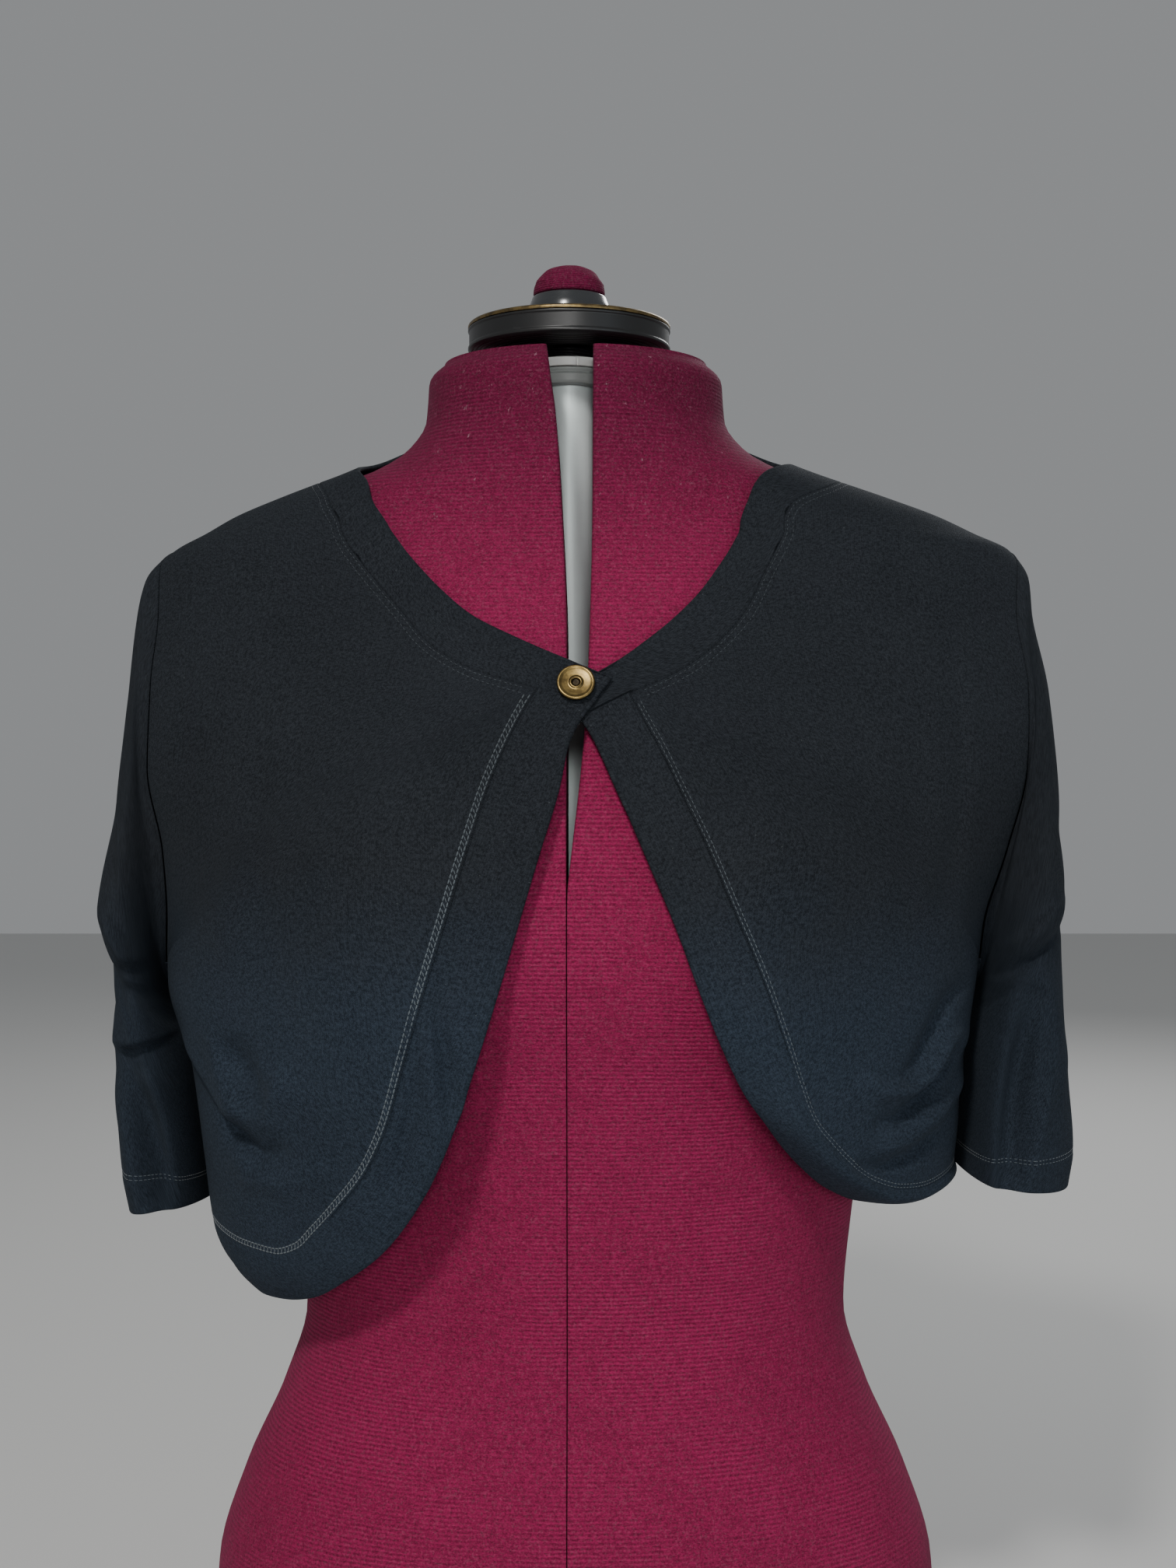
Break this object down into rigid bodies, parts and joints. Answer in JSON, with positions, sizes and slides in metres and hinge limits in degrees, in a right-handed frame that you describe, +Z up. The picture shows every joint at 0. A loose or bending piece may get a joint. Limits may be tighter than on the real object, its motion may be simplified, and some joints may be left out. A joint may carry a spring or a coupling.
{
  "type": "knitted shrug on a limbless dress form",
  "caption": "Cropped open jersey shrug with elbow sleeves and one button, on a split limbless dress form with a neck dial.",
  "frame": {"origin": "middle of the underside of the whole part's box, at the dress form's flat base", "axes": "+Z up the form, -Y out of the front, +X to the wearer's left"},
  "size_m": [0.4502, 0.2588, 0.6829],
  "materials": {
    "navy_jersey": "fine matt jersey knit",
    "wine_cover": "ribbed stretch knit over foam",
    "aluminium": "satin drawn tube",
    "white_plastic": "moulded",
    "black_plastic": "moulded, half gloss",
    "brass": "worn bright metal"
  },
  "bodies": {
    "form": {"shrug_back": "navy_jersey", "shrug_front_right": "navy_jersey", "shrug_front_left": "navy_jersey", "sleeve_right": "navy_jersey", "sleeve_left": "navy_jersey", "neckband": "navy_jersey", "front_band_right": "navy_jersey", "front_band_left": "navy_jersey", "hem_band_back": "navy_jersey", "form_right": "wine_cover", "form_left": "wine_cover", "pincushion": "wine_cover", "pole": "aluminium", "pole_collar": "white_plastic", "threaded_neck": "black_plastic", "knob_base": "black_plastic", "button_foot": "black_plastic", "button": "brass"},
    "neck_dial": {"neck_dial": "black_plastic", "dial_trim": "brass"}
  },
  "joints": [
    {"name": "neck_dial_turn", "type": "hinge", "parent": "form", "child": "neck_dial", "pos_m": [-0.00912, 0.0054, 0.6485], "axis": [0, 0, 1], "range_deg": [-360, 360]}
  ]
}
